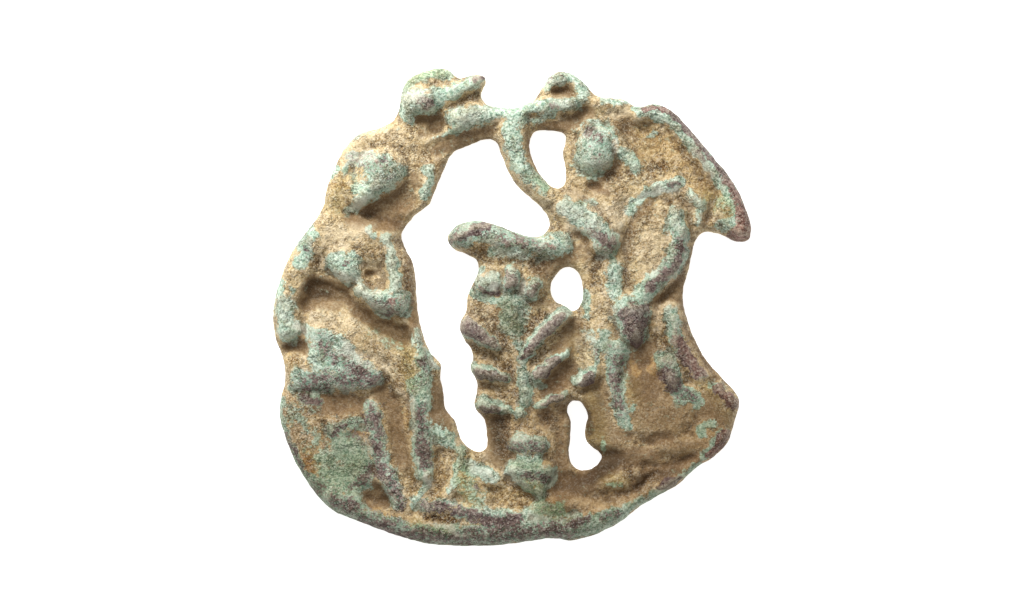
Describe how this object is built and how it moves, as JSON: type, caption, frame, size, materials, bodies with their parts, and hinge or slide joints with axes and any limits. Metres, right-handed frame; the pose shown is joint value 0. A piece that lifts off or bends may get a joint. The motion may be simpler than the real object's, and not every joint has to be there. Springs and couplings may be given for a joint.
{
  "type": "pilgrim badge",
  "caption": "Flat openwork cast badge with a seated figure, a winged angel and a potted lily in relief on one side.",
  "frame": {"origin": "centre of the badge's outline, on the plane of its flat back", "axes": "+Z out of the relief side, away from the flat back; +Y to the top of the scene; +X to the angel's side"},
  "size_m": [0.043, 0.043, 0.0038],
  "materials": {
    "patinated_bronze": "corroded copper alloy: pale green patina, purple-brown where the high parts are worn, tan earth in the hollows"
  },
  "bodies": {
    "root": {"badge": "patinated_bronze"}
  },
  "joints": []
}
